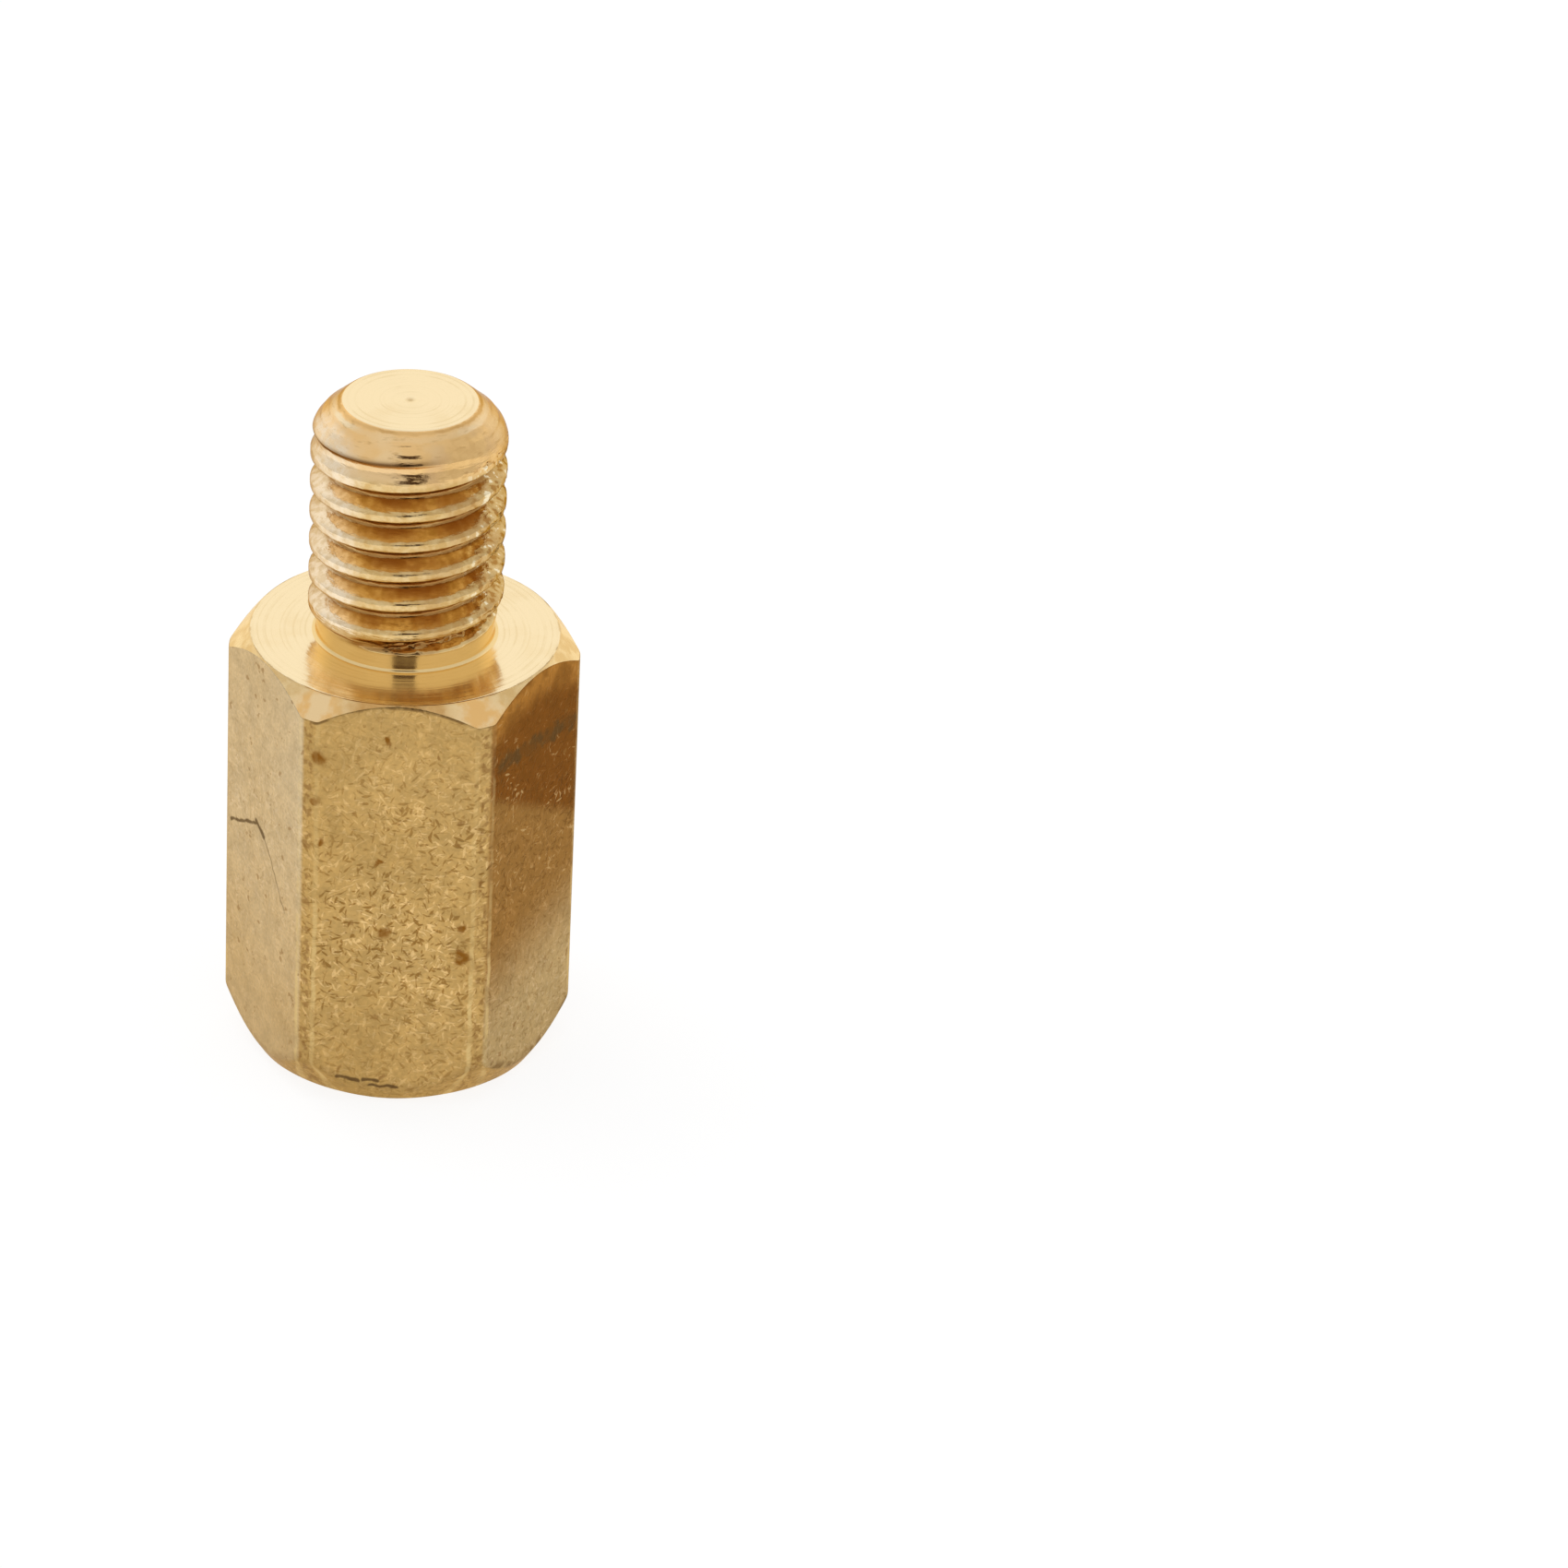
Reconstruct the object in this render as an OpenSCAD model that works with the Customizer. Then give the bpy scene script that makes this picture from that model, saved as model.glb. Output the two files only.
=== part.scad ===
// Male-female hex standoff, turned and tapped from one length of brass hex bar.
// The tapped end stands on the plane z = 0, the stud points up along +Z and one flat faces -Y.

/* [Hex body] */
// Width across the flats
across_flats = 4.75; // [4.4:0.05:10]
// Depth rounded off each of the six corners of the bar
corner_relief = 0.08; // [0.02:0.01:0.2]
// Length of the hex body, from the tapped end to the shoulder
body_length = 7; // [6.5:0.5:40]

/* [End chamfers] */
// Distance of the shoulder's rim inside the flats
shoulder_inset = 0.03; // [0.01:0.005:0.2]
// Slope of the shoulder's chamfer, in degrees below the shoulder's plane
shoulder_slope = 48; // [30:1:60]
// Distance of the foot's rim inside the flats
foot_inset = 0.15; // [0.05:0.01:0.25]
// Slope of the foot's chamfer, in degrees above the foot's plane
foot_slope = 57; // [30:1:65]

/* [Stud] */
// Major diameter of the stud's thread
thread_d = 2.96; // [2.8:0.01:3]
// Length of the stud, from the shoulder to its tip
stud_length = 3.9; // [3:0.1:12]
// Distance of the tip's rim inside the thread's major diameter
tip_inset = 0.46; // [0.4:0.02:0.6]
// Slope of the tip's chamfer, in degrees below the tip's plane
tip_slope = 40; // [35:1:55]
// Radius that rounds the chamfer into the thread
tip_round = 0.5; // [0.2:0.05:0.5]
// Diameter of the plain shank at the shoulder
shank_root_d = 2.68; // [2.5:0.01:2.7]
// Diameter of the plain shank where the thread runs out
shank_top_d = 2.76; // [2.72:0.01:2.78]
// Length of the plain shank, from the shoulder to the thread's run-out
shank_length = 0.4; // [0.3:0.05:1]
// Radius that the turning tool leaves between the shank and the shoulder
shank_fillet = 0.15; // [0.05:0.01:0.2]

/* [Tapped hole] */
// Diameter of the drilled hole that is tapped
tap_d = 2.5; // [2.4:0.02:2.6]
// Depth of the drilled hole at its full diameter, from the foot
hole_depth = 5.2; // [2:0.1:5.5]
// Included angle of the drill's point
drill_point_angle = 118; // [90:1:140]
// Diameter of the plain counterbore at the mouth
counterbore_d = 3.2; // [3.05:0.05:3.4]
// Depth of the counterbore, from the foot
counterbore_depth = 0.62; // [0.4:0.02:1.2]
// Size of the 45 degree chamfer at the mouth
mouth_chamfer = 0.22; // [0.1:0.01:0.25]

/* [Hidden] */

brass = [0.80, 0.63, 0.36];
round_sides = 96;
hex_sides = 6;
// Distance that a cutter runs past the face that it opens
run_past = 0.5;

sharp_corner_r = across_flats / 2 / cos(180 / hex_sides);
corner_r = sharp_corner_r - corner_relief;
shoulder_r = across_flats / 2 - shoulder_inset;
foot_r = across_flats / 2 - foot_inset;
shoulder_drop = (corner_r - shoulder_r) * tan(shoulder_slope);
foot_rise = (corner_r - foot_r) * tan(foot_slope);

shank_root_r = shank_root_d / 2;
shank_top_r = shank_top_d / 2;
thread_r = thread_d / 2;
tip_z = body_length + stud_length;
tip_r = thread_r - tip_inset;
tip_drop = tip_inset * tan(tip_slope);
// Angle through which the tip's round turns, and its centre
tip_turn = 90 - tip_slope;
tip_round_r = thread_r - tip_round;
tip_round_z = tip_z - tip_drop - tip_round * tan(tip_turn / 2);
run_out_z = body_length + shank_length;

tap_r = tap_d / 2;
counterbore_r = counterbore_d / 2;
drill_point_h = tap_r / tan(drill_point_angle / 2);
// The tap's lead-in is a 45 degree cone from the counterbore to the drilled hole
lead_in_h = counterbore_r - tap_r;

// Hex bar with its corners rounded off and both ends chamfered, as the lathe leaves it.
module hex_body() {
    intersection() {
        cylinder(r = sharp_corner_r, h = body_length, $fn = hex_sides);
        rotate_extrude($fn = round_sides)
            polygon([
                [0, 0],
                [foot_r, 0],
                [corner_r, foot_rise],
                [corner_r, body_length - shoulder_drop],
                [shoulder_r, body_length],
                [0, body_length]
            ]);
    }
}

// Slightly tapered plain shank, run-out cone, threaded length at its major diameter and chamfered tip.
module stud() {
    rotate_extrude($fn = round_sides) {
        polygon([
            [0, body_length - run_past],
            [shank_root_r, body_length - run_past],
            [shank_root_r, body_length],
            [shank_top_r, run_out_z],
            [thread_r, run_out_z + thread_r - shank_top_r],
            [thread_r, tip_round_z],
            [tip_round_r, tip_round_z],
            [tip_round_r + tip_round * cos(tip_turn), tip_round_z + tip_round * sin(tip_turn)],
            [tip_r, tip_z],
            [0, tip_z]
        ]);
        tip_sector();
    }
    shank_root();
}

// Sector of a circle that rounds the tip's chamfer into the thread, in the stud's profile.
module tip_sector() {
    translate([tip_round_r, tip_round_z])
        intersection() {
            circle(tip_round, $fn = round_sides);
            polygon([
                [0, 0],
                [2 * tip_round, 0],
                [2 * tip_round * cos(tip_turn), 2 * tip_round * sin(tip_turn)]
            ]);
        }
}

// Fillet at the foot of the shank, so that the shoulder is flat right up to the thread's diameter.
module shank_root() {
    rotate_extrude($fn = round_sides)
        translate([shank_root_r, body_length])
            difference() {
                translate([-shank_fillet, -shank_fillet])
                    square(2 * shank_fillet);
                translate([shank_fillet, shank_fillet])
                    circle(shank_fillet, $fn = round_sides);
            }
}

// Blind hole from the foot: mouth chamfer, counterbore, lead-in cone, drilled length and drill point.
module tapped_hole() {
    rotate_extrude($fn = round_sides)
        polygon([
            [0, -run_past],
            [counterbore_r + mouth_chamfer + run_past, -run_past],
            [counterbore_r, mouth_chamfer],
            [counterbore_r, counterbore_depth],
            [tap_r, counterbore_depth + lead_in_h],
            [tap_r, hole_depth],
            [0, hole_depth + drill_point_h]
        ]);
}

module hex_standoff() {
    color(brass)
        difference() {
            union() {
                hex_body();
                stud();
            }
            tapped_hole();
        }
}

hex_standoff();
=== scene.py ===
import math

import bmesh
import bpy
import numpy as np
from mathutils import Matrix, Vector, noise


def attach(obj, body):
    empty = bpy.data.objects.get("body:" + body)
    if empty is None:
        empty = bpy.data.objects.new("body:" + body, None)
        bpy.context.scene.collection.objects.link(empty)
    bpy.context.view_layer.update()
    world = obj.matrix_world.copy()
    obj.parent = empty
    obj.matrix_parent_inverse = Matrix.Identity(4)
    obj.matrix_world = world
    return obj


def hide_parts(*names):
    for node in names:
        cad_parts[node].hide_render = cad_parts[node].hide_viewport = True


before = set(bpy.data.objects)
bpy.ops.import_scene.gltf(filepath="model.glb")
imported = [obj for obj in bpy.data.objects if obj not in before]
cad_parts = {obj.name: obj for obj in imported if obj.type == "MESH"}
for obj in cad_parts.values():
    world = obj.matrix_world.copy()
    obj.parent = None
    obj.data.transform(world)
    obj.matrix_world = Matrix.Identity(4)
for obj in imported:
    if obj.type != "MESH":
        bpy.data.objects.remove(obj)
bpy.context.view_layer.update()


# The standoff's blank: one length of brass hex bar, chucked in a lathe. Its outline is drawn from the tip
# of the stud over the shoulder and the hex, round the foot and up the blind hole, and turned about the axis.
mm = 0.001
across_flats, corner_r, body_length = 4.7498 * mm, 2.6618 * mm, 7.0 * mm
shoulder_r, shoulder_slope = 2.345 * mm, math.tan(math.radians(48))
foot_r, foot_slope = 2.225 * mm, math.tan(math.radians(57))
thread_r, tip_z, tip_inset = 1.48 * mm, 10.9 * mm, 0.46 * mm
tip_slope, tip_round = math.tan(math.radians(40)), 0.5 * mm * math.tan(math.radians(25))
shank_root_r, shank_top_r, shank_z = 1.34 * mm, 1.38 * mm, 7.4 * mm
tap_r, hole_depth, counterbore_r, counterbore_depth = 1.25 * mm, 5.2 * mm, 1.6 * mm, 0.62 * mm
mouth_chamfer, drill_point = 0.22 * mm, tap_r / math.tan(math.radians(59))
pip_r, pip_h = 0.07 * mm, 0.02 * mm

shoulder_edge_z = body_length - (corner_r - shoulder_r) * shoulder_slope
foot_edge_z = (corner_r - foot_r) * foot_slope

tip_centre, pip = (0, tip_z - pip_h), (pip_r, tip_z)
tip_rim, chamfer_foot = (thread_r - tip_inset, tip_z), (thread_r, tip_z - tip_inset * tip_slope)
run_out, shank_top = (thread_r, shank_z + thread_r - shank_top_r), (shank_top_r, shank_z)
shank_root, shoulder_rim = (shank_root_r, body_length), (shoulder_r, body_length)
hex_top, hex_foot = (corner_r, shoulder_edge_z), (corner_r, foot_edge_z)
foot_rim, mouth_rim = (foot_r, 0), (counterbore_r + mouth_chamfer, 0)
bore_mouth, bore_step = (counterbore_r, mouth_chamfer), (counterbore_r, counterbore_depth)
lead_in, hole_end = (tap_r, counterbore_depth + counterbore_r - tap_r), (tap_r, hole_depth)
drill_tip = (0, hole_depth + drill_point)

outline = [tip_centre, pip, tip_rim, chamfer_foot, run_out, shank_top, shank_root, shoulder_rim, hex_top,
           hex_foot, foot_rim, mouth_rim, bore_mouth, bore_step, lead_in, hole_end, drill_tip]

bpy.ops.object.select_all(action="DESELECT")
bpy.ops.mesh.primitive_plane_add(size=pip_r, location=(0, 0, tip_centre[1]))
standoff = bpy.context.object
standoff.name = standoff.data.name = "standoff"
bpy.ops.object.transform_apply(location=True, rotation=True, scale=True)
bpy.ops.object.mode_set(mode="EDIT")
bpy.ops.mesh.merge(type="CENTER")
for (r, z), (next_r, next_z) in zip(outline, outline[1:]):
    bpy.ops.mesh.extrude_region_move(TRANSFORM_OT_translate={"value": (next_r - r, 0, next_z - z)})

same_place, same_line = 1e-4 * mm, 5e-5 * mm


def select_corner(r, z):
    """Select only the outline's corner at this radius and height."""
    bpy.ops.mesh.select_all(action="DESELECT")
    shape = bmesh.from_edit_mesh(standoff.data)
    for vert in shape.verts:
        vert.select = (vert.co - Vector((r, 0, z))).length < same_place
    shape.select_flush_mode()
    bmesh.update_edit_mesh(standoff.data)


def select_leg(start, end):
    """Select only the outline's straight leg between two of its corners, which are rounded by now."""
    bpy.ops.mesh.select_all(action="DESELECT")
    a, b = Vector((start[0], 0, start[1])), Vector((end[0], 0, end[1]))
    shape = bmesh.from_edit_mesh(standoff.data)
    for edge in shape.edges:
        ends = [v.co for v in edge.verts]
        edge.select = all(abs((p - a).length + (p - b).length - (b - a).length) < same_line for p in ends)
    bmesh.update_edit_mesh(standoff.data)


rim_round, shank_fillet, shoulder_round = 0.05 * mm, 0.07 * mm, 0.028 * mm
hex_round, foot_round = 0.016 * mm, 0.06 * mm
for corner, size, steps in ((tip_rim, rim_round, 4), (chamfer_foot, tip_round, 34),
                            (shank_root, shank_fillet, 6), (shoulder_rim, shoulder_round, 4),
                            (hex_top, hex_round, 3), (hex_foot, foot_round, 4), (foot_rim, foot_round, 4),
                            (mouth_rim, rim_round, 3), (bore_mouth, rim_round, 2), (bore_step, rim_round, 2)):
    select_corner(*corner)
    bpy.ops.mesh.bevel(offset_type="OFFSET", offset=size, segments=steps, affect="VERTICES")
for start, end, cuts in ((pip, tip_rim, 10), (tip_rim, chamfer_foot, 36), (chamfer_foot, run_out, 226),
                         (run_out, shank_top, 9), (shank_top, shank_root, 12), (shank_root, shoulder_rim, 10),
                         (shoulder_rim, hex_top, 6), (hex_top, hex_foot, 24), (hex_foot, foot_rim, 7),
                         (foot_rim, mouth_rim, 4), (bore_mouth, bore_step, 4), (bore_step, lead_in, 20),
                         (lead_in, hole_end, 170), (hole_end, drill_tip, 8)):
    select_leg(start, end)
    bpy.ops.mesh.subdivide(number_cuts=cuts)

columns = 144
bpy.ops.mesh.select_all(action="SELECT")
bpy.ops.mesh.spin(steps=columns, angle=2 * math.pi, center=(0, 0, 0), axis=(0, 0, 1))
bpy.ops.mesh.select_all(action="SELECT")
bpy.ops.mesh.remove_doubles(threshold=1e-5 * mm)
bpy.ops.mesh.normals_make_consistent(inside=False)
bpy.ops.object.mode_set(mode="OBJECT")

points = np.empty(len(standoff.data.vertices) * 3)
standoff.data.vertices.foreach_get("co", points)
points = points.reshape(-1, 3)
radius, height = np.hypot(points[:, 0], points[:, 1]), np.maximum(points[:, 2], 0)
turn = np.arctan2(points[:, 1], points[:, 0])
centres = np.empty(len(standoff.data.polygons) * 3)
standoff.data.polygons.foreach_get("center", centres)
centres = centres.reshape(-1, 3)
face_r, face_z = np.hypot(centres[:, 0], centres[:, 1]), centres[:, 2]

# The six flats of the drawn bar, which the lathe only chamfers at both ends. Each column of points is moved
# in from the round blank to the flat, and the columns close up on the narrow band left at each corner.
half_flat, half_side, band_blend = across_flats / 2, 30, 0.02 * mm
inside_flats = 2.2 * mm
band_edge = math.degrees(math.acos(half_flat / corner_r))
from_flat = (np.degrees(turn) + 4 * half_side) % (2 * half_side) - half_side
even = np.linspace(0, half_side, columns // 12 + 1)
beside_edge = [band_edge - 0.8, band_edge, band_edge + 0.8, band_edge + 1.9]
drawn_in = np.concatenate([np.linspace(0, band_edge - 2.2, 8), beside_edge, [half_side]])
angle = np.radians(np.interp(np.abs(from_flat), even, drawn_in))


def soft_min(a, b, blend):
    """The lesser of two sizes, with the corner between them rounded off over the blend."""
    near = np.maximum(blend - np.abs(a - b), 0) / blend
    return np.minimum(a, b) - near * near * blend / 4


bar_r = soft_min(half_flat / np.cos(angle), corner_r, band_blend)
upper = height > body_length / 2
rim = np.where(upper, shoulder_r, foot_r)
top_round = hex_round * math.cos(math.atan(shoulder_slope))
low_round = foot_round * math.cos(math.atan(foot_slope))
chamfer_width = corner_r - np.where(upper, top_round, low_round) - rim
share = np.clip((radius - rim) / chamfer_width, 0, 1) * (radius > inside_flats)
wall_foot, wall_top = foot_edge_z + foot_round, shoulder_edge_z - hex_round
up_wall = np.clip((height - wall_foot) / (wall_top - wall_foot), 0, 1)
move_in = bar_r - corner_r
slide = move_in * (foot_slope * (1 - up_wall) - shoulder_slope * up_wall)
turn_in = np.radians(from_flat) - np.sign(from_flat) * angle
radius = radius + share * move_in
height = height + share * slide
turn = turn - share * turn_in

# How far each point lies from the edges of the flats, for the finish to follow.
in_band = (angle - math.radians(band_edge)) * corner_r
below_shoulder = body_length - (bar_r - shoulder_r) * shoulder_slope - height
above_foot = height - (bar_r - foot_r) * foot_slope

# The stud's M3 thread, cut with a die: one right-hand groove that starts in the tip's chamfer and runs out
# in a torn, shallow end above the shank. Heights are in metres, and places along the groove in turns.
pitch, groove_depth, crest_width, groove_blend = 0.5 * mm, 0.27 * mm, 0.13 * mm, 0.01 * mm
flank = groove_depth * math.tan(math.radians(28))
front = math.radians(-90)
last_groove_z, run_out_low, run_out_high = 7.41 * mm, 7.26 * mm, 7.36 * mm
stud_foot_z, stud_core_r = 7.2 * mm, 0.9 * mm
lip_above, lip_width = 0.105 * mm, 0.042 * mm
nick_depth, tear_depth, burrs_per_m = 0.055 * mm, 0.09 * mm, 9 / mm


def smooth_step(low, high, value):
    t = np.clip((value - low) / (high - low), 0, 1)
    return t * t * (3 - 2 * t)


def groove(z, around, first_z, sharpness):
    """Depth of a right-hand groove from 0 to 1, how many turns along it, and how far above its middle."""
    turns = np.degrees(around - front) / 360
    pitches = (z - first_z) / pitch - turns
    which = np.round(pitches)
    above = (pitches - which) * pitch
    down = ((pitch - crest_width) / 2 - np.abs(above)) / flank
    depth = (np.logaddexp(0, sharpness * down) - np.logaddexp(0, sharpness * (down - 1))) / sharpness
    return depth, turns + which, above


# Two marks of the turning tool round the tip's chamfer.
for down, mark in ((0.16 * mm, 0.012 * mm), (0.268 * mm, 0.016 * mm)):
    below = (tip_z - height - down) / mm
    step = smooth_step(-0.025, 0.025, below) * (1 - smooth_step(0.025, 0.11, below))
    radius = radius - mark * step * (radius > thread_r - tip_inset)

on_stud = (radius > stud_core_r) & (height > stud_foot_z)
depth, along, above = groove(height, turn, last_groove_z, 14.0)
cut_in = smooth_step(-0.2, 0.08, along) * smooth_step(run_out_low, run_out_high, height) * on_stud
cut_in = cut_in * (1 - 0.65 * smooth_step(4.9, 5.8, along)) * (1 - smooth_step(6.0, 6.25, along))
# A band just under the lip of the groove's first turns, where a painted shade goes.
shade_under_first_lip = np.exp(-((above - lip_above) / lip_width) ** 2) * smooth_step(5.3, 5.6, along)
shade_under_first_lip = shade_under_first_lip * (1 - smooth_step(5.99, 6.08, along)) * on_stud
stud_groove = depth * cut_in
oily = depth * smooth_step(0, 0.4, cut_in) * (1 - 0.8 * smooth_step(5.1, 5.6, along))
grooved = soft_min(radius, thread_r - groove_depth * stud_groove, groove_blend)
radius = np.where(on_stud, grooved, radius)

# Nicks along the crests, most of them on the right, and the torn end of the groove.
rough = np.zeros(len(radius))
for i in np.flatnonzero(on_stud & (height < tip_z - 0.5 * mm)):
    place = Vector((radius[i] * math.cos(turn[i]), radius[i] * math.sin(turn[i]), height[i] * 1.6))
    rough[i] = noise.noise(place * burrs_per_m)
torn = smooth_step(-0.15, 0.0, along) * (1 - smooth_step(0.2, 0.45, along)) * stud_groove
right_side = 0.4 + 1.2 * smooth_step(0.4, 1.0, np.cos(turn))
nicked = np.clip(rough - 0.15, 0, 1) * (1 - stud_groove) * right_side
nicked = nicked * smooth_step(7.42 * mm, 7.55 * mm, height)
radius = radius - nicked * nick_depth - torn * rough * tear_depth

# The tapped thread in the hole, cut up from the counterbore and running out short of the drill's point.
widest_r, mouth_z, first_turn_z, tapped_depth = 1.75 * mm, 0.3 * mm, 0.75 * mm, 0.26 * mm
in_hole = (radius < widest_r) & (height < hole_depth) & (height > mouth_z)
depth, along, _ = groove(height, turn, first_turn_z, 8.0)
hole_groove = depth * (1 - smooth_step(6.6, 7.6, along)) * in_hole
tapped = -soft_min(-radius, -tap_r - tapped_depth * hole_groove, groove_blend)
radius = np.where(in_hole, tapped, radius)

points = np.stack([radius * np.cos(turn), radius * np.sin(turn), height], axis=1)
standoff.data.vertices.foreach_set("co", points.ravel())
standoff.data.update()
for name, values in (("groove", np.maximum(oily, hole_groove)), ("shade_under_first_lip", shade_under_first_lip),
                     ("in_band", in_band), ("below_shoulder", below_shoulder), ("above_foot", above_foot)):
    standoff.data.attributes.new(name, "FLOAT", "POINT").data.foreach_set("value", values)

# The outside unrolled to millimetres: round the bar, and up it from the foot's rim.
unrolled_r = 2.45
corners = np.empty(len(standoff.data.loops), int)
standoff.data.loops.foreach_get("vertex_index", corners)
sides = np.empty(len(standoff.data.polygons), int)
standoff.data.polygons.foreach_get("loop_total", sides)
face_turn = np.repeat(np.arctan2(centres[:, 1], centres[:, 0]), sides)
round_bar = turn[corners] + 2 * math.pi * np.round((face_turn - turn[corners]) / (2 * math.pi))
up_and_over = height - np.where(upper, 0, np.maximum(bar_r - radius, 0))
unrolled = np.stack([round_bar * unrolled_r, up_and_over[corners] / mm], axis=1)
standoff.data.uv_layers.active.data.foreach_set("uv", unrolled.ravel())

bpy.ops.object.shade_smooth()
evened = standoff.modifiers.new("evened_normals", "WEIGHTED_NORMAL")
evened.mode, evened.weight = "FACE_AREA", 50
bpy.ops.object.modifier_apply(modifier=evened.name)


def lay(tree, kind, inputs, **settings):
    """Add a node, with its settings, and give each input a value or another node's output."""
    node = tree.nodes.new(kind)
    for name, value in settings.items():
        setattr(node, name, value)
    for name, value in inputs.items():
        if isinstance(value, bpy.types.NodeSocket):
            tree.links.new(value, node.inputs[name])
        else:
            node.inputs[name].default_value = value
    return node


def maths(tree, operation, a, b=0.0):
    return lay(tree, "ShaderNodeMath", {0: a, 1: b}, operation=operation).outputs[0]


def vectors(tree, operation, a, b):
    return lay(tree, "ShaderNodeVectorMath", {0: a, 1: b}, operation=operation)


def field(tree, name):
    """One of the mesh's own values at each point."""
    return lay(tree, "ShaderNodeAttribute", {}, attribute_name=name).outputs["Fac"]


def grain(tree, coords, per_mm, detail=2.0):
    """Noise with so many lumps to the millimetre."""
    inputs = {"Vector": coords, "Scale": per_mm / mm, "Detail": detail}
    return lay(tree, "ShaderNodeTexNoise", inputs).outputs["Fac"]


def fade(tree, value, low, high, to_low=0.0, to_high=1.0):
    """Map a value smoothly from one range to another, and hold it there."""
    inputs = {"Value": value, "From Min": low, "From Max": high, "To Min": to_low, "To Max": to_high}
    return lay(tree, "ShaderNodeMapRange", inputs, interpolation_type="SMOOTHSTEP").outputs[0]


def tint(tree, share, under, over, blend="MIX"):
    """Lay one colour over another."""
    inputs = {"Fac": share, "Color1": under, "Color2": over}
    return lay(tree, "ShaderNodeMixRGB", inputs, blend_type=blend).outputs[0]


def both(tree, *masks):
    """Where all masks hold."""
    product = masks[0]
    for mask in masks[1:]:
        product = maths(tree, "MULTIPLY", product, mask)
    return product


def any_of(tree, *masks):
    """Where any of the masks holds."""
    top = masks[0]
    for mask in masks[1:]:
        top = maths(tree, "MAXIMUM", top, mask)
    return top


def facing(tree, coords, degrees, low, high):
    """1 on the side that faces this way round the axis."""
    way = (math.cos(math.radians(degrees)), math.sin(math.radians(degrees)), 0)
    return fade(tree, vectors(tree, "DOT_PRODUCT", coords, way).outputs["Value"], low * mm, high * mm)


def spot(tree, coords, place, size):
    """A stain with a soft edge."""
    away = vectors(tree, "DISTANCE", coords, [c * mm for c in place]).outputs["Value"]
    return fade(tree, away, 0.45 * size * mm, 1.15 * size * mm, 1.0, 0.0)


def scratch(tree, coords, start, end, width):
    """A straight mark between two places."""
    start, leg = Vector(start) * mm, (Vector(end) - Vector(start)) * mm
    from_start = vectors(tree, "SUBTRACT", coords, start).outputs[0]
    reach = vectors(tree, "DOT_PRODUCT", from_start, leg / leg.length_squared).outputs["Value"]
    reach = lay(tree, "ShaderNodeClamp", {"Value": reach}).outputs[0]
    foot = lay(tree, "ShaderNodeVectorMath", {0: leg, "Scale": reach}, operation="SCALE").outputs[0]
    away = vectors(tree, "DISTANCE", from_start, foot).outputs["Value"]
    return fade(tree, away, 0.3 * width * mm, width * mm, 1.0, 0.0)


def new_brass(name):
    """A new material, with the place on the object that its nodes start from."""
    brass = bpy.data.materials.new(name)
    brass.use_nodes = True
    brass.node_tree.nodes.clear()
    return brass, brass.node_tree, lay(brass.node_tree, "ShaderNodeTexCoord", {}).outputs["Object"]


def along_axis(tree, coords, axis):
    return lay(tree, "ShaderNodeSeparateXYZ", {"Vector": coords}).outputs[axis]


def finish_brass(tree, colour, roughness, lumps, lift, edge_tint, **spun):
    """The metal itself, with its small dents and lumps."""
    bump = lay(tree, "ShaderNodeBump", {"Height": lumps, "Distance": lift, "Strength": 1.0}).outputs[0]
    inputs = {"Base Color": colour, "Metallic": 1.0, "Roughness": roughness, "Normal": bump,
              "Specular Tint": edge_tint, **spun}
    shader = lay(tree, "ShaderNodeBsdfPrincipled", inputs).outputs["BSDF"]
    lay(tree, "ShaderNodeOutputMaterial", {"Surface": shader})


# The finish of the flats, as drawn and tumbled: dull tan brass, peppered with short dents, painted dark as
# painted shade and light as painted highlights, with worn edges that also carry a painted highlight, and
# brown stains. The flats are darker towards the foot, as painted shade. The left flat is painted paler, as
# painted light, and the right one is painted brown, darkest at its top, as a painted reflection of a dark
# neighbour.
flats, tree, coords = new_brass("drawn_flats")
unrolled = lay(tree, "ShaderNodeUVMap", {}, uv_map=standoff.data.uv_layers.active.name).outputs["UV"]
up = along_axis(tree, coords, "Z")
in_band = field(tree, "in_band")
below_shoulder = field(tree, "below_shoulder")
above_foot = field(tree, "above_foot")
wavy = lay(tree, "ShaderNodeTexNoise", {"Vector": coords, "Scale": 5 / mm, "Detail": 2.0}).outputs["Color"]
wavy = vectors(tree, "SUBTRACT", wavy, (0.5, 0.5, 0.5)).outputs[0]
wavy = vectors(tree, "MULTIPLY", wavy, (0.1 * mm, 0.1 * mm, 0.1 * mm)).outputs[0]
ragged = vectors(tree, "ADD", coords, wavy).outputs[0]
torn_out = vectors(tree, "ADD", ragged, vectors(tree, "MULTIPLY", wavy, (1.5, 0, 1.5)).outputs[0]).outputs[0]
waved = vectors(tree, "ADD", coords, vectors(tree, "MULTIPLY", wavy, (0, 0, 4)).outputs[0]).outputs[0]
cloudy, broken = grain(tree, coords, 0.6, 3.0), grain(tree, coords, 3.2, 3.0)
fine = grain(tree, coords, 20)
left_flat, right_flat = facing(tree, coords, 210, 2.33, 2.368), facing(tree, coords, -30, 2.33, 2.368)

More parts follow.
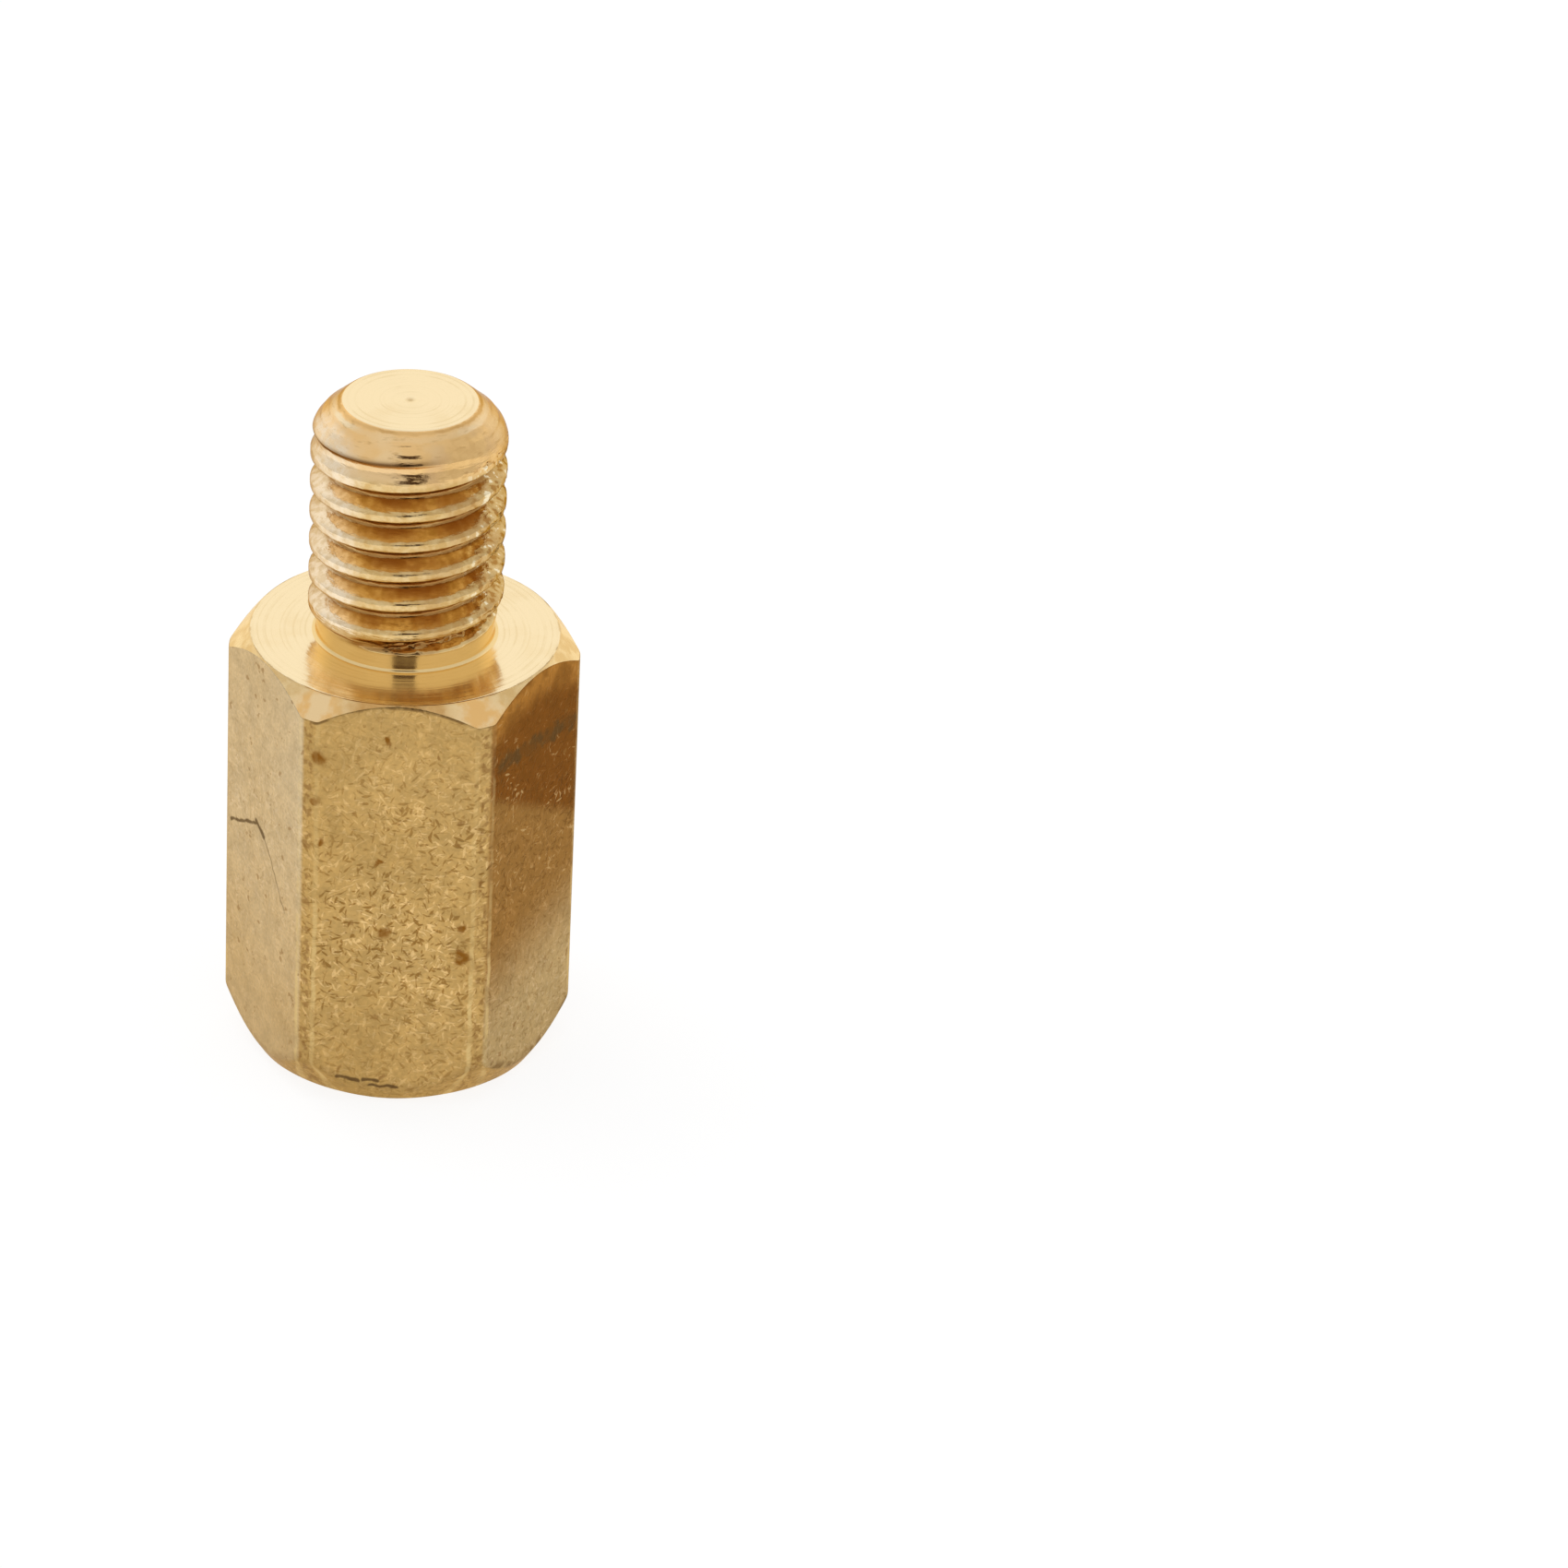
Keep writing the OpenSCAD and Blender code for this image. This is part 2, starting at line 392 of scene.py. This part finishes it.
shade_dents, glint_dents = [], []
for degrees in (8, 47, 82, 123, 158):
    turned_to = {"Vector": unrolled, "Rotation": (0, 0, math.radians(degrees)), "Scale": (0.19, 0.062, 1)}
    dashes = lay(tree, "ShaderNodeMapping", turned_to, vector_type="TEXTURE").outputs[0]
    dashes = lay(tree, "ShaderNodeTexNoise", {"Vector": dashes, "Scale": 1.0, "Detail": 0.0}).outputs["Fac"]
    shade_dents.append(fade(tree, dashes, 0.69, 0.78))
    glint_dents.append(fade(tree, dashes, 0.31, 0.22))
peppered = both(tree, fade(tree, up, 6.6 * mm, 4.2 * mm, 0.45, 1.0),
                fade(tree, left_flat, 0.0, 1.0, 1.0, 0.3), fade(tree, cloudy, 0.3, 0.6, 0.5, 1.0),
                fade(tree, right_flat, 0.0, 1.0, 1.0, 0.75), fade(tree, up, 0.8 * mm, 2.6 * mm, 0.6, 1.0))
shade_dents = both(tree, any_of(tree, *shade_dents), peppered)
glint_dents = both(tree, any_of(tree, *glint_dents), peppered)

colour = tint(tree, cloudy, (0.46, 0.28, 0.085, 1), (0.62, 0.40, 0.145, 1))
# The left flat is painted paler, most towards the top: painted light.
pale = tint(tree, fade(tree, up, 1.2 * mm, 5.5 * mm), (0.625, 0.455, 0.24, 1), (0.66, 0.515, 0.31, 1))
colour = tint(tree, left_flat, colour, tint(tree, fade(tree, cloudy, 0.3, 0.7, 0.0, 0.25), pale, colour))
# The right flat's brown, darkest above a slanting edge, pale low down and golden just under the shoulder, is
# a painted reflection of a dark neighbour.
reflection_top_edge = vectors(tree, "DOT_PRODUCT", ragged, (0.27, 0.474, 1.0)).outputs["Value"]
reflection_rise = vectors(tree, "DOT_PRODUCT", ragged, (-0.12, -0.2, 1.0)).outputs["Value"]
painted_reflection = fade(tree, reflection_rise, 1.1 * mm, 3.2 * mm)
painted_reflection = tint(tree, painted_reflection, (0.52, 0.37, 0.175, 1), (0.315, 0.155, 0.04, 1))
painted_reflection = tint(tree, fade(tree, reflection_top_edge, 4.55 * mm, 4.82 * mm), painted_reflection, (0.19, 0.062, 0.008, 1))
golden_reflection_top = both(tree, fade(tree, below_shoulder, 0.12 * mm, 0.6 * mm, 0.85, 0.0),
            fade(tree, broken, 0.35, 0.6, 0.55, 1.0))
painted_reflection = tint(tree, golden_reflection_top, painted_reflection, (0.42, 0.185, 0.035, 1))
colour = tint(tree, right_flat, colour, painted_reflection)
mottled = both(tree, fade(tree, fine, 0.3, 0.7, 0.9, 1.1), fade(tree, broken, 0.3, 0.7, 0.92, 1.08))
colour = tint(tree, 1.0, colour, mottled, "MULTIPLY")
# The flats are darkened towards the foot: painted shade.
colour = tint(tree, fade(tree, up, 2.4 * mm, 0.6 * mm, 0.0, 0.6), colour, (0.86, 0.84, 0.8, 1), "MULTIPLY")
# The dark dents are painted shade, and the light ones painted highlights, on top of their bumps.
colour = tint(tree, maths(tree, "MULTIPLY", shade_dents, 0.9), colour, (0.53, 0.42, 0.26, 1), "MULTIPLY")
colour = tint(tree, glint_dents, colour, (1.4, 1.48, 1.8, 1), "MULTIPLY")
# Bright scuffs on the right flat, painted as highlights.
glinting_scuffs = both(tree, right_flat, fade(tree, glint_dents, 0.15, 0.5),
              fade(tree, reflection_top_edge, 2.6 * mm, 3.6 * mm), fade(tree, broken, 0.5, 0.62))
colour = tint(tree, maths(tree, "MULTIPLY", glinting_scuffs, 0.7), colour, (0.56, 0.37, 0.16, 1))

stains = any_of(tree, *[spot(tree, torn_out, (x, -2.375, z), size) for x, z, size in (
    (-1.16, 6.04, 0.14), (-0.11, 6.39, 0.07), (-0.13, 3.05, 0.13), (1.04, 3.2, 0.1), (1.05, 2.66, 0.16),
    (-0.25, 4.29, 0.08), (-1.23, 5.31, 0.08), (-1.1, 4.6, 0.07))])
stains = both(tree, stains, fade(tree, grain(tree, coords, 9), 0.3, 0.6, 0.7, 1.0))
colour = tint(tree, stains, colour, (0.25, 0.10, 0.012, 1))
specks = fade(tree, grain(tree, coords, 5.5, 3.0), 0.65, 0.7)
colour = tint(tree, maths(tree, "MULTIPLY", specks, 0.55), colour, (0.27, 0.13, 0.035, 1))
smear = scratch(tree, waved, (1.56, -2.04, 5.87), (2.585, -0.275, 5.7), 0.19)
hairline = scratch(tree, ragged, (-2.04, -1.215, 4.05), (-1.68, -1.84, 3.04), 0.03)
cracks = any_of(tree, scratch(tree, ragged, (-2.6, -0.25, 3.72), (-2.15, -1.03, 4.1), 0.045),
                scratch(tree, ragged, (-2.165, -1.0, 4.14), (-2.03, -1.235, 3.98), 0.07),
                maths(tree, "MULTIPLY", hairline, 0.6),
                scratch(tree, ragged, (-0.80, -2.37, 0.46), (-0.5, -2.37, 0.42), 0.05),
                scratch(tree, ragged, (-0.42, -2.37, 0.44), (-0.2, -2.37, 0.41), 0.045),
                scratch(tree, ragged, (-0.33, -2.37, 0.33), (0.11, -2.37, 0.31), 0.04),
                both(tree, smear, right_flat, fade(tree, broken, 0.35, 0.55, 0.3, 1.0)))
colour = tint(tree, maths(tree, "MULTIPLY", cracks, 0.85), colour, (0.09, 0.045, 0.016, 1))

waver = maths(tree, "MULTIPLY", maths(tree, "SUBTRACT", broken, 0.5), 0.1 * mm)
to_edge = maths(tree, "ABSOLUTE", maths(tree, "ADD", in_band, waver))
# Worn corner edges, painted bright: wear and a painted highlight.
worn_edge_glint = fade(tree, to_edge, 0.015 * mm, 0.05 * mm, 1.0, 0.0)
worn_edge_glint = both(tree, worn_edge_glint, fade(tree, up, 4.5 * mm, 1.8 * mm, 0.25, 0.7), fade(tree, broken, 0.4, 0.6, 0.3, 1.0))
colour = tint(tree, worn_edge_glint, colour, (0.74, 0.54, 0.23, 1))
band_dirt = both(tree, fade(tree, in_band, 0.04 * mm, 0.1 * mm),
                 fade(tree, grain(tree, coords, 7), 0.5, 0.62))
colour = tint(tree, maths(tree, "MULTIPLY", band_dirt, 0.55), colour, (0.24, 0.11, 0.03, 1))
# A dark line along the top edge of the front flat, and dirt along the foot.
dark_top_edge = both(tree, fade(tree, below_shoulder, 0.015 * mm, 0.05 * mm, 1.0, 0.0),
                 fade(tree, below_shoulder, -0.03 * mm, 0.0), fade(tree, broken, 0.42, 0.58, 0.1, 1.0),
                 facing(tree, coords, -90, 2.3, 2.36))
foot_dirt = both(tree, fade(tree, maths(tree, "ABSOLUTE", above_foot), 0.02 * mm, 0.16 * mm, 1.0, 0.0),
                 fade(tree, broken, 0.44, 0.56), fade(tree, right_flat, 0.0, 1.0, 0.4, 1.0))
dark_ends = maths(tree, "MULTIPLY", any_of(tree, dark_top_edge, foot_dirt), 0.75)
colour = tint(tree, dark_ends, colour, (0.16, 0.08, 0.025, 1))

lumps = maths(tree, "SUBTRACT", maths(tree, "MULTIPLY", fine, 0.3), shade_dents)
lumps = maths(tree, "ADD", lumps, glint_dents)
finish_brass(tree, colour, fade(tree, fine, 0.3, 0.7, 0.3, 0.42), lumps, 0.004 * mm, (0.85, 0.72, 0.55, 1))

# The finish of the faces turned last, on the tip and the shoulder: bright pale brass with fine rings round
# the axis, which smear outwards what the metal mirrors. The shoulder's chamfer was bruised in the tumbler,
# and is warmer and blotched; at the front its corners are painted brighter and its middle darker, as a
# painted reflection.
turned, tree, coords = new_brass("turned_faces")


def out_from_axis(tree, coords):
    """The level way out from the axis, and how far out a place lies."""
    level = vectors(tree, "MULTIPLY", coords, (1, 1, 0)).outputs[0]
    return level, lay(tree, "ShaderNodeVectorMath", {0: level}, operation="LENGTH").outputs["Value"]


level, out = out_from_axis(tree, coords)
wobbly = maths(tree, "ADD", out, maths(tree, "MULTIPLY", grain(tree, coords, 1.2, 1.0), 0.05 * mm))
rings = {"W": wobbly, "Scale": 16 / mm, "Detail": 2.0}
rings = lay(tree, "ShaderNodeTexNoise", rings, noise_dimensions="1D").outputs["Fac"]
patchy, bruised = grain(tree, coords, 1.5, 3.0), grain(tree, coords, 3.4, 4.0)
ringed = both(tree, fade(tree, rings, 0.5, 0.7, 0.0, 0.5), fade(tree, patchy, 0.42, 0.58, 0.2, 1.0))
colour = tint(tree, ringed, (0.965, 0.79, 0.50, 1), (0.80, 0.62, 0.34, 1))
colour = tint(tree, fade(tree, patchy, 0.5, 0.7, 0.0, 0.4), colour, (0.90, 0.70, 0.40, 1))
on_chamfer = fade(tree, out, 2.335 * mm, 2.352 * mm)
blotched = tint(tree, fade(tree, bruised, 0.38, 0.62), (0.80, 0.54, 0.23, 1), (0.94, 0.70, 0.36, 1))
blotched = tint(tree, fade(tree, bruised, 0.64, 0.7, 0.0, 0.3), blotched, (0.50, 0.28, 0.09, 1))
aside = maths(tree, "ABSOLUTE", along_axis(tree, coords, "X"))
# At the front, the chamfer's middle is painted darker and its corners brighter: painted reflection.
front_middle = both(tree, facing(tree, coords, -90, 2.2, 2.3),
                    fade(tree, aside, 0.5 * mm, 1.0 * mm, 1.0, 0.0))
blotched = tint(tree, front_middle, blotched, (0.82, 0.68, 0.52, 1), "MULTIPLY")
reflected_bright = tint(tree, fade(tree, bruised, 0.4, 0.6), (0.95, 0.58, 0.22, 1), (1.0, 0.73, 0.39, 1))
front_corners = both(tree, facing(tree, coords, -90, 1.85, 2.05), fade(tree, aside, 0.6 * mm, 1.1 * mm))
blotched = tint(tree, front_corners, blotched, reflected_bright)
colour = tint(tree, on_chamfer, colour, blotched)
colour = tint(tree, fade(tree, out, 0.02 * mm, 0.075 * mm, 0.7, 0.0), colour, (0.55, 0.38, 0.18, 1))
to_rim = maths(tree, "ABSOLUTE", maths(tree, "SUBTRACT", out, shoulder_r))
rim_nicks = both(tree, fade(tree, to_rim, 0.008 * mm, 0.03 * mm, 1.0, 0.0),
                 fade(tree, bruised, 0.45, 0.6, 0.0, 0.5))
colour = tint(tree, rim_nicks, colour, (0.60, 0.38, 0.15, 1))
lumps = maths(tree, "ADD", both(tree, rings, fade(tree, on_chamfer, 0.0, 1.0, 1.0, 0.2)),
              both(tree, bruised, on_chamfer, 14.0))
finish_brass(tree, colour, fade(tree, patchy, 0.3, 0.7, 0.12, 0.17), lumps, 0.0018 * mm, (1, 0.9, 0.7, 1),
             Anisotropic=0.9, Tangent=level)

# The finish of the threads and the shank, as cut: golden, painted paler on the left as painted light and
# darker on the right as a painted reflection, with brown oil dried in the grooves, their roots darkened by
# oil and by painted shade, a painted shade under the first groove's lip, and burrs on the right with painted
# glints. The tip's chamfer is warmer, with small nicks and a pale ring at its rim.
cut, tree, coords = new_brass("cut_thread")
in_groove = field(tree, "groove")
blotch, speckle = grain(tree, coords, 1.7, 3.0), grain(tree, coords, 8.0, 3.0)
up = along_axis(tree, coords, "Z")
off_shank = any_of(tree, fade(tree, up, 7.34 * mm, 7.44 * mm), fade(tree, up, 6.9 * mm, 6.8 * mm))
flat_lying = lay(tree, "ShaderNodeMapping", {"Vector": coords, "Scale": (1, 1, 5)}).outputs[0]
streaks = grain(tree, flat_lying, 5.0, 3.0)
# The left side is painted paler, as painted light, and the right side darker, as a painted reflection.
lit_left_side = both(tree, facing(tree, coords, 205, 1.08, 1.34), fade(tree, speckle, 0.35, 0.65, 0.55, 1.0),
                 off_shank)
shaded_right_side = both(tree, facing(tree, coords, -35, 0.7, 1.3), off_shank)
burred = both(tree, facing(tree, coords, -10, 0.95, 1.35), off_shank, fade(tree, up, 10.4 * mm, 10.25 * mm))
threaded = fade(tree, up, 10.3 * mm, 10.15 * mm)

colour = tint(tree, fade(tree, blotch, 0.4, 0.65), (0.98, 0.63, 0.27, 1), (1.0, 0.71, 0.37, 1))
crests = tint(tree, fade(tree, speckle, 0.35, 0.65), (0.72, 0.48, 0.19, 1), (0.82, 0.60, 0.29, 1))
colour = tint(tree, threaded, colour, crests)
colour = tint(tree, off_shank, (0.90, 0.66, 0.31, 1), colour)
oil = tint(tree, fade(tree, speckle, 0.35, 0.65), (0.46, 0.275, 0.08, 1), (0.64, 0.42, 0.165, 1))
burnt = both(tree, fade(tree, blotch, 0.44, 0.56), facing(tree, coords, -70, 0.5, 1.2))
oil = tint(tree, burnt, oil, (0.38, 0.17, 0.035, 1))
colour = tint(tree, both(tree, in_groove, fade(tree, blotch, 0.35, 0.6, 0.75, 1.0)), colour, oil)
colour = tint(tree, maths(tree, "MULTIPLY", shaded_right_side, 0.35), colour, oil)
colour = tint(tree, lit_left_side, colour, (0.98, 0.81, 0.58, 1))
# The deepest roots darker still: oil, and painted shade under each crest.
root = both(tree, fade(tree, in_groove, 0.72, 0.98), fade(tree, streaks, 0.35, 0.6, 0.5, 1.0))
colour = tint(tree, root, colour, (0.40, 0.20, 0.06, 1))
# A painted shade under the first groove's lip.
colour = tint(tree, field(tree, "shade_under_first_lip"), colour, (0.17, 0.07, 0.016, 1))

_, out = out_from_axis(tree, coords)
uneven = maths(tree, "ADD", out, maths(tree, "MULTIPLY", maths(tree, "SUBTRACT", speckle, 0.5), 0.06 * mm))
by_rim = maths(tree, "ABSOLUTE", maths(tree, "SUBTRACT", uneven, 1.055 * mm))
by_ring = maths(tree, "ABSOLUTE", maths(tree, "SUBTRACT", uneven, 1.135 * mm))
on_tip = fade(tree, up, 10.62 * mm, 10.7 * mm)
rim_nicks = both(tree, fade(tree, by_rim, 0.012 * mm, 0.035 * mm, 1.0, 0.0),
                 fade(tree, blotch, 0.4, 0.55, 0.35, 0.8), on_tip)
pale_ring = both(tree, fade(tree, by_ring, 0.015 * mm, 0.05 * mm, 1.0, 0.0),
                 fade(tree, blotch, 0.4, 0.6, 0.9, 0.35), on_tip,
                 fade(tree, facing(tree, coords, -90, 0.6, 1.0), 0.0, 1.0, 1.0, 0.2))
colour = tint(tree, pale_ring, colour, (1.0, 0.82, 0.53, 1))
colour = tint(tree, rim_nicks, colour, (0.70, 0.40, 0.13, 1))
streaked = both(tree, fade(tree, streaks, 0.55, 0.75, 0.0, 0.4), off_shank)
colour = tint(tree, streaked, colour, (0.5, 0.29, 0.09, 1))
colour = tint(tree, both(tree, fade(tree, speckle, 0.46, 0.38), burred, 0.8), colour, (0.42, 0.20, 0.05, 1))
# Bright specks on the burrs: painted glints.
colour = tint(tree, both(tree, fade(tree, speckle, 0.60, 0.66), burred), colour, (0.96, 0.83, 0.56, 1))
lumps = both(tree, maths(tree, "ADD", streaks, maths(tree, "MULTIPLY", speckle, burred)), off_shank)
edge_tint = tint(tree, off_shank, (0.95, 0.85, 0.65, 1), (0.6, 0.44, 0.28, 1))
finish_brass(tree, colour, fade(tree, blotch, 0.3, 0.7, 0.1, 0.2), lumps, 0.008 * mm, edge_tint)

# Each face gets the finish of the tool that made it.
finishes = [flats, turned, cut]
tip_face_z, shank_foot_z = tip_z - 0.008 * mm, body_length + 0.001 * mm
standoff.data.materials.clear()
for brass in finishes:
    standoff.data.materials.append(brass)
finish = np.full(len(face_r), finishes.index(flats))
finish[(face_z > shoulder_edge_z + hex_round) & (face_r > shank_root_r)] = finishes.index(turned)
finish[face_z > tip_face_z] = finishes.index(turned)
finish[(face_z > shank_foot_z) & (face_z < tip_face_z)] = finishes.index(cut)
finish[(face_r < mouth_rim[0]) & (face_z < drill_tip[1])] = finishes.index(cut)
standoff.data.polygons.foreach_set("material_index", finish)
standoff.data.update()
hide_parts("hex_standoff")
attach(standoff, "root")


# The studio floor: a plain sheet of white paper that the standoff stands on. It is lifted to white where
# the camera or the metal sees it, and elsewhere it only passes on the light that falls on it.
bpy.ops.object.select_all(action="DESELECT")
bpy.ops.mesh.primitive_plane_add(size=1.2)
floor = bpy.context.object
floor.name = "floor"
paper = bpy.data.materials.new("white_paper")
paper.use_nodes = True
tree = paper.node_tree
tree.nodes.clear()
plain = lay(tree, "ShaderNodeBsdfDiffuse", {"Color": (0.8, 0.8, 0.8, 1)}).outputs[0]
lift = lay(tree, "ShaderNodeEmission", {"Color": (1, 1, 1, 1), "Strength": 0.85}).outputs[0]
half_lit = lay(tree, "ShaderNodeBsdfDiffuse", {"Color": (0.25, 0.25, 0.25, 1)}).outputs[0]
lifted = lay(tree, "ShaderNodeAddShader", {0: half_lit, 1: lift}).outputs[0]


def seen_directly(tree):
    """1 for what the camera sees by itself or in metal or glass."""
    path = lay(tree, "ShaderNodeLightPath", {})
    return any_of(tree, *[path.outputs[f"Is {kind} Ray"] for kind in ("Camera", "Glossy", "Transmission")])


shown = lay(tree, "ShaderNodeMixShader", {0: seen_directly(tree), 1: plain, 2: lifted}).outputs[0]
lay(tree, "ShaderNodeOutputMaterial", {"Surface": shown})
floor.data.materials.append(paper)


# The light: a tent of white cloth all round, with a large soft lamp above on the left. The metal mirrors
# the tent, and not the lamp.
tent = bpy.data.worlds.new("tent")
bpy.context.scene.world = tent
tent.use_nodes = True
tree = tent.node_tree
tree.nodes.clear()
strength = fade(tree, seen_directly(tree), 0.0, 1.0, 0.62, 1.0)
white = lay(tree, "ShaderNodeBackground", {"Color": (1, 1, 1, 1), "Strength": strength}).outputs[0]
lay(tree, "ShaderNodeOutputWorld", {"Surface": white})

bpy.ops.object.light_add(type="AREA", location=(-0.2, 0.12, 0.3))
key = bpy.context.object
key.name = "soft_key"
key.data.shape, key.data.size, key.data.energy = "DISK", 0.28, 0.19
key.visible_glossy = False
middle = Vector((0, 0, 5 * mm))
key.rotation_euler = (middle - key.location).to_track_quat("-Z", "Y").to_euler()


# The front of the tent, on the camera's side: a dome of grey cloth that whitens towards its back edge, and
# in it the dark front of the camera, as a card. Only the metal sees the two.
tent_r, tent_edge_y, tent_foot_z = 0.34, 0.26, 0.004
whiter_from_y = 0.05


def hang(card, shade, back_shade=None):
    """Give a card its shade, which may change towards the back, and let only metal see it."""
    cloth = bpy.data.materials.new(card.name)
    cloth.use_nodes = True
    tree = cloth.node_tree
    tree.nodes.clear()
    if back_shade:
        place = lay(tree, "ShaderNodeTexCoord", {}).outputs["Object"]
        back = fade(tree, along_axis(tree, place, "Y"), whiter_from_y, tent_edge_y)
        shade = tint(tree, back, shade, back_shade)
    glow = lay(tree, "ShaderNodeEmission", {"Color": shade, "Strength": 1}).outputs[0]
    lay(tree, "ShaderNodeOutputMaterial", {"Surface": glow})
    card.data.materials.append(cloth)
    card.visible_camera = card.visible_diffuse = card.visible_shadow = False


bpy.ops.object.select_all(action="DESELECT")
bpy.ops.mesh.primitive_uv_sphere_add(segments=48, ring_count=24, radius=tent_r)
tent_front = bpy.context.object
tent_front.name = "tent_front"
bpy.ops.object.mode_set(mode="EDIT")
bpy.ops.mesh.select_all(action="SELECT")
bpy.ops.mesh.bisect(plane_co=(0, tent_edge_y, 0), plane_no=(0, 1, 0), clear_outer=True)
bpy.ops.mesh.select_all(action="SELECT")
bpy.ops.mesh.bisect(plane_co=(0, 0, tent_foot_z), plane_no=(0, 0, 1), clear_inner=True)
bpy.ops.object.mode_set(mode="OBJECT")
hang(tent_front, (0.74, 0.74, 0.74, 1), (1, 1, 1, 1))

card_place, card_tilt = (3.2 * mm, -97.8 * mm, 67.8 * mm), (math.radians(58.25), 0, 0)
bpy.ops.object.select_all(action="DESELECT")
bpy.ops.mesh.primitive_plane_add(size=1, location=card_place, rotation=card_tilt)
lens = bpy.context.object
lens.name = "camera_front"
lens.scale = (52 * mm, 62.7 * mm, 1)
bpy.ops.object.transform_apply(location=True, rotation=True, scale=True)
hang(lens, (0.07, 0.045, 0.03, 1))


# The camera, which stands as it did for the photograph, with a long lens and no shift. Its place and its
# three directions in the scene are what the standoff's outline in the photograph asks for.
right = Vector((0.99895, -0.00063, 0.04574))
down = Vector((0.03929, -0.49989, -0.8652))
forward = Vector((0.02341, 0.86609, -0.49934))
stand = Matrix.Translation((3.203 * mm, -97.857 * mm, 60.979 * mm))
camera = bpy.data.objects.new("camera", bpy.data.cameras.new("camera"))
bpy.context.scene.collection.objects.link(camera)
camera.matrix_world = stand @ Matrix((right, -down, -forward)).transposed().to_4x4()
camera.data.lens, camera.data.sensor_width = 169.41, 36.0
camera.data.clip_start, camera.data.clip_end = 0.01, 10
bpy.context.scene.camera = camera
bpy.context.scene.view_settings.view_transform = "Standard"
